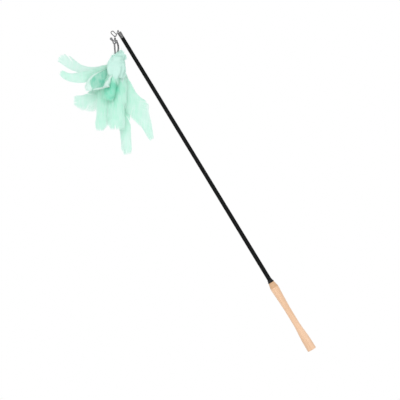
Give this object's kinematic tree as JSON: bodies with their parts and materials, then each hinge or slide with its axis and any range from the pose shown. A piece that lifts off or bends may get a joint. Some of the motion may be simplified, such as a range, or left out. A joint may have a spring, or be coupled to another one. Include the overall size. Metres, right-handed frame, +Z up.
{
  "type": "cat teaser wand",
  "caption": "Cat teaser wand: slim black rod in a turned wooden handle, with a mint feather lure hung from a swivel lobster clasp at its tip.",
  "frame": {"origin": "the middle of the grip, on the handle's axis", "axes": "+Z up as the wand is held, leaning 31.3 degrees from the vertical towards -X; the picture plane is XZ and +Y points away from the viewer"},
  "size_m": [0.349, 0.0623, 0.4333],
  "materials": {
    "handle_wood": "sanded, unvarnished",
    "rod_black": "satin",
    "collar_rubber": "satin",
    "ferrule_grey": "dull grey",
    "wire_plated": "bright plated",
    "swivel_plated": "bright plated",
    "clasp_plated": "bright plated",
    "pin_steel": "bright",
    "cap_mint": "satin",
    "thread_mint": "waxed thread",
    "down_pale": "down",
    "feather_mint": "feather barbs"
  },
  "bodies": {
    "wand": {"handle": "handle_wood", "rod": "rod_black", "collar": "collar_rubber", "tip_ferrule": "ferrule_grey", "tip_eye": "wire_plated"},
    "swivel": {"swivel_bail": "swivel_plated"},
    "clasp": {"swivel_post": "swivel_plated", "claw_body": "clasp_plated", "gate_pin": "pin_steel", "gate_spring": "pin_steel"},
    "gate": {"gate": "clasp_plated"},
    "link": {"lure_ring": "wire_plated"},
    "lure": {"lure_cap": "cap_mint", "binding_thread": "thread_mint", "down_tufts": "down_pale", "feather_long_left": "feather_mint", "feather_low_left": "feather_mint", "feather_curled": "feather_mint", "feather_blunt_left": "feather_mint", "feather_fluffy_left": "feather_mint", "feather_fluffy_mid": "feather_mint", "feather_straight": "feather_mint", "feather_pointed_right": "feather_mint", "feather_back_left": "feather_mint", "feather_back_mid": "feather_mint", "feather_back_right": "feather_mint", "feather_core": "feather_mint"}
  },
  "joints": [
    {"name": "bail_swing", "type": "hinge", "parent": "wand", "child": "swivel", "pos_m": [-0.23772, 0, 0.37624], "axis": [1, 0, 0], "range_deg": [-70, 70]},
    {"name": "clasp_spin", "type": "hinge", "parent": "swivel", "child": "clasp", "pos_m": [-0.23772, 0, 0.37284], "axis": [0, 0, 1], "continuous": true},
    {"name": "gate_press", "type": "hinge", "parent": "clasp", "child": "gate", "pos_m": [-0.23852, 0, 0.36839], "axis": [0, -1, 0], "range_deg": [0, 7], "stiffness_Nm_per_rad": 0.02, "springref_deg": -5.73},
    {"name": "ring_swing", "type": "hinge", "parent": "clasp", "child": "link", "pos_m": [-0.23613, 0, 0.35309], "axis": [1, 0, 0], "range_deg": [-60, 60]},
    {"name": "feather_swing", "type": "hinge", "parent": "link", "child": "lure", "pos_m": [-0.23613, 0, 0.35029], "axis": [0, -1, 0], "range_deg": [-30, 10]}
  ]
}
